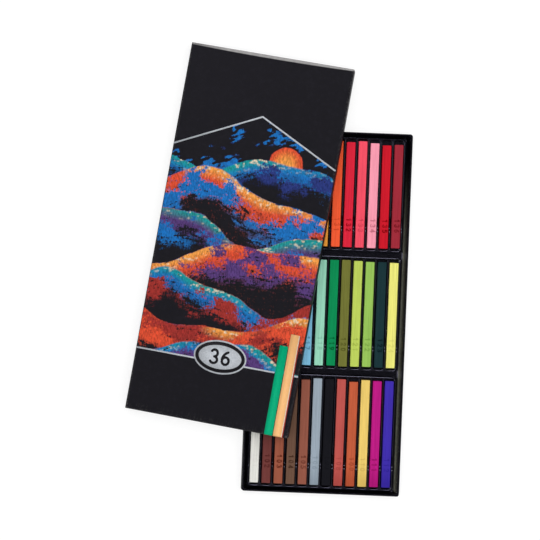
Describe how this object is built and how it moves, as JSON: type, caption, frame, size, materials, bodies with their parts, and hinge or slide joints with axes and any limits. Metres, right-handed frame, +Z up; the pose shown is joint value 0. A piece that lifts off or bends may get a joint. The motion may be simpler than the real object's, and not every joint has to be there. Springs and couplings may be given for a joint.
{
  "type": "pastel stick box with slotted tray and lift-off lid",
  "caption": "Flat lift-off-lid box for square pastel sticks: slotted black tray holding rows of loose sticks, printed lid lying askew across it.",
  "frame": {"origin": "on the resting plane, under the middle of the tray's outline", "axes": "+X across the rows of sticks, towards the side that the lid leaves open; +Y along the tray, towards the end that the lid hangs over; +Z up"},
  "size_m": [0.241, 0.3883, 0.033],
  "materials": {
    "tray_plastic": "smooth, softly glossy thin formed sheet",
    "box_board": "matte grey board",
    "printed_paper": "black coated paper with a printed picture",
    "stay_paper": "matte brown gummed paper",
    "pastel_white": "dry, chalky pressed pigment",
    "pastel_plum_brown": "dry, chalky pressed pigment",
    "pastel_terracotta": "dry, chalky pressed pigment",
    "pastel_umber": "dry, chalky pressed pigment",
    "pastel_chestnut": "dry, chalky pressed pigment",
    "pastel_blue_grey": "dry, chalky pressed pigment",
    "pastel_black": "dry, chalky pressed pigment",
    "pastel_brick_red": "dry, chalky pressed pigment",
    "pastel_rust": "dry, chalky pressed pigment",
    "pastel_ochre": "dry, chalky pressed pigment",
    "pastel_magenta": "dry, chalky pressed pigment",
    "pastel_violet": "dry, chalky pressed pigment",
    "pastel_lilac": "dry, chalky pressed pigment",
    "pastel_navy": "dry, chalky pressed pigment",
    "pastel_cobalt": "dry, chalky pressed pigment",
    "pastel_azure": "dry, chalky pressed pigment",
    "pastel_light_blue": "dry, chalky pressed pigment",
    "pastel_mint": "dry, chalky pressed pigment",
    "pastel_green": "dry, chalky pressed pigment",
    "pastel_olive": "dry, chalky pressed pigment",
    "pastel_lime": "dry, chalky pressed pigment",
    "pastel_leaf_green": "dry, chalky pressed pigment",
    "pastel_dark_teal": "dry, chalky pressed pigment",
    "pastel_pale_yellow": "dry, chalky pressed pigment",
    "pastel_sand": "dry, chalky pressed pigment",
    "pastel_cream": "dry, chalky pressed pigment",
    "pastel_lemon": "dry, chalky pressed pigment",
    "pastel_yellow": "dry, chalky pressed pigment",
    "pastel_gold": "dry, chalky pressed pigment",
    "pastel_amber": "dry, chalky pressed pigment",
    "pastel_orange": "dry, chalky pressed pigment",
    "pastel_crimson": "dry, chalky pressed pigment",
    "pastel_coral": "dry, chalky pressed pigment",
    "pastel_pink": "dry, chalky pressed pigment",
    "pastel_red": "dry, chalky pressed pigment",
    "pastel_maroon": "dry, chalky pressed pigment"
  },
  "bodies": {
    "tray": {"tray": "tray_plastic"},
    "stick_white": {"stick_white": "pastel_white"},
    "stick_plum_brown": {"stick_plum_brown": "pastel_plum_brown"},
    "stick_terracotta": {"stick_terracotta": "pastel_terracotta"},
    "stick_umber": {"stick_umber": "pastel_umber"},
    "stick_chestnut": {"stick_chestnut": "pastel_chestnut"},
    "stick_blue_grey": {"stick_blue_grey": "pastel_blue_grey"},
    "stick_black": {"stick_black": "pastel_black"},
    "stick_brick_red": {"stick_brick_red": "pastel_brick_red"},
    "stick_rust": {"stick_rust": "pastel_rust"},
    "stick_ochre": {"stick_ochre": "pastel_ochre"},
    "stick_magenta": {"stick_magenta": "pastel_magenta"},
    "stick_violet": {"stick_violet": "pastel_violet"},
    "stick_lilac": {"stick_lilac": "pastel_lilac"},
    "stick_navy": {"stick_navy": "pastel_navy"},
    "stick_cobalt": {"stick_cobalt": "pastel_cobalt"},
    "stick_azure": {"stick_azure": "pastel_azure"},
    "stick_light_blue": {"stick_light_blue": "pastel_light_blue"},
    "stick_mint": {"stick_mint": "pastel_mint"},
    "stick_green": {"stick_green": "pastel_green"},
    "stick_olive": {"stick_olive": "pastel_olive"},
    "stick_lime": {"stick_lime": "pastel_lime"},
    "stick_leaf_green": {"stick_leaf_green": "pastel_leaf_green"},
    "stick_dark_teal": {"stick_dark_teal": "pastel_dark_teal"},
    "stick_pale_yellow": {"stick_pale_yellow": "pastel_pale_yellow"},
    "stick_sand": {"stick_sand": "pastel_sand"},
    "stick_cream": {"stick_cream": "pastel_cream"},
    "stick_lemon": {"stick_lemon": "pastel_lemon"},
    "stick_yellow": {"stick_yellow": "pastel_yellow"},
    "stick_gold": {"stick_gold": "pastel_gold"},
    "stick_amber": {"stick_amber": "pastel_amber"},
    "stick_orange": {"stick_orange": "pastel_orange"},
    "stick_crimson": {"stick_crimson": "pastel_crimson"},
    "stick_coral": {"stick_coral": "pastel_coral"},
    "stick_pink": {"stick_pink": "pastel_pink"},
    "stick_red": {"stick_red": "pastel_red"},
    "stick_maroon": {"stick_maroon": "pastel_maroon"},
    "lid": {"lid_board": "box_board", "lid_wrap": "printed_paper", "lid_corner_stays": "stay_paper"}
  },
  "joints": [
    {"name": "stick_white_lift", "type": "slide", "parent": "tray", "child": "stick_white", "axis": [0, 0, 1], "range_m": [0, 0.0025]},
    {"name": "stick_plum_brown_lift", "type": "slide", "parent": "tray", "child": "stick_plum_brown", "axis": [0, 0, 1], "range_m": [0, 0.0035]},
    {"name": "stick_terracotta_lift", "type": "slide", "parent": "tray", "child": "stick_terracotta", "axis": [0, 0, 1], "range_m": [0, 0.0045]},
    {"name": "stick_umber_lift", "type": "slide", "parent": "tray", "child": "stick_umber", "axis": [0, 0, 1], "range_m": [0, 0.005]},
    {"name": "stick_chestnut_lift", "type": "slide", "parent": "tray", "child": "stick_chestnut", "axis": [0, 0, 1], "range_m": [0, 0.03]},
    {"name": "stick_blue_grey_lift", "type": "slide", "parent": "tray", "child": "stick_blue_grey", "axis": [0, 0, 1], "range_m": [0, 0.03]},
    {"name": "stick_black_lift", "type": "slide", "parent": "tray", "child": "stick_black", "axis": [0, 0, 1], "range_m": [0, 0.03]},
    {"name": "stick_brick_red_lift", "type": "slide", "parent": "tray", "child": "stick_brick_red", "axis": [0, 0, 1], "range_m": [0, 0.03]},
    {"name": "stick_rust_lift", "type": "slide", "parent": "tray", "child": "stick_rust", "axis": [0, 0, 1], "range_m": [0, 0.03]},
    {"name": "stick_ochre_lift", "type": "slide", "parent": "tray", "child": "stick_ochre", "axis": [0, 0, 1], "range_m": [0, 0.03]},
    {"name": "stick_magenta_lift", "type": "slide", "parent": "tray", "child": "stick_magenta", "axis": [0, 0, 1], "range_m": [0, 0.03]},
    {"name": "stick_violet_lift", "type": "slide", "parent": "tray", "child": "stick_violet", "axis": [0, 0, 1], "range_m": [0, 0.03]},
    {"name": "stick_lilac_lift", "type": "slide", "parent": "tray", "child": "stick_lilac", "axis": [0, 0, 1], "range_m": [0, 0.012]},
    {"name": "stick_navy_lift", "type": "slide", "parent": "tray", "child": "stick_navy", "axis": [0, 0, 1], "range_m": [0, 0.013]},
    {"name": "stick_cobalt_lift", "type": "slide", "parent": "tray", "child": "stick_cobalt", "axis": [0, 0, 1], "range_m": [0, 0.014]},
    {"name": "stick_azure_lift", "type": "slide", "parent": "tray", "child": "stick_azure", "axis": [0, 0, 1], "range_m": [0, 0.0115]},
    {"name": "stick_light_blue_lift", "type": "slide", "parent": "tray", "child": "stick_light_blue", "axis": [0, 0, 1], "range_m": [0, 0.004]},
    {"name": "stick_mint_lift", "type": "slide", "parent": "tray", "child": "stick_mint", "axis": [0, 0, 1], "range_m": [0, 0.0035]},
    {"name": "stick_green_lift", "type": "slide", "parent": "tray", "child": "stick_green", "axis": [0, 0, 1], "range_m": [0, 0.03]},
    {"name": "stick_olive_lift", "type": "slide", "parent": "tray", "child": "stick_olive", "axis": [0, 0, 1], "range_m": [0, 0.03]},
    {"name": "stick_lime_lift", "type": "slide", "parent": "tray", "child": "stick_lime", "axis": [0, 0, 1], "range_m": [0, 0.03]},
    {"name": "stick_leaf_green_lift", "type": "slide", "parent": "tray", "child": "stick_leaf_green", "axis": [0, 0, 1], "range_m": [0, 0.03]},
    {"name": "stick_dark_teal_lift", "type": "slide", "parent": "tray", "child": "stick_dark_teal", "axis": [0, 0, 1], "range_m": [0, 0.03]},
    {"name": "stick_pale_yellow_lift", "type": "slide", "parent": "tray", "child": "stick_pale_yellow", "axis": [0, 0, 1], "range_m": [0, 0.03]},
    {"name": "stick_sand_lift", "type": "slide", "parent": "tray", "child": "stick_sand", "axis": [0, 0, 1], "range_m": [0, 0.0095]},
    {"name": "stick_cream_lift", "type": "slide", "parent": "tray", "child": "stick_cream", "axis": [0, 0, 1], "range_m": [0, 0.0105]},
    {"name": "stick_lemon_lift", "type": "slide", "parent": "tray", "child": "stick_lemon", "axis": [0, 0, 1], "range_m": [0, 0.0115]},
    {"name": "stick_yellow_lift", "type": "slide", "parent": "tray", "child": "stick_yellow", "axis": [0, 0, 1], "range_m": [0, 0.0125]},
    {"name": "stick_gold_lift", "type": "slide", "parent": "tray", "child": "stick_gold", "axis": [0, 0, 1], "range_m": [0, 0.013]},
    {"name": "stick_amber_lift", "type": "slide", "parent": "tray", "child": "stick_amber", "axis": [0, 0, 1], "range_m": [0, 0.0025]},
    {"name": "stick_orange_lift", "type": "slide", "parent": "tray", "child": "stick_orange", "axis": [0, 0, 1], "range_m": [0, 0.002]},
    {"name": "stick_crimson_lift", "type": "slide", "parent": "tray", "child": "stick_crimson", "axis": [0, 0, 1], "range_m": [0, 0.03]},
    {"name": "stick_coral_lift", "type": "slide", "parent": "tray", "child": "stick_coral", "axis": [0, 0, 1], "range_m": [0, 0.03]},
    {"name": "stick_pink_lift", "type": "slide", "parent": "tray", "child": "stick_pink", "axis": [0, 0, 1], "range_m": [0, 0.03]},
    {"name": "stick_red_lift", "type": "slide", "parent": "tray", "child": "stick_red", "axis": [0, 0, 1], "range_m": [0, 0.03]},
    {"name": "stick_maroon_lift", "type": "slide", "parent": "tray", "child": "stick_maroon", "axis": [0, 0, 1], "range_m": [0, 0.03]},
    {"name": "lid_lift", "type": "slide", "parent": "tray", "child": "lid", "axis": [0, 0, 1], "range_m": [0, 0.06]}
  ]
}
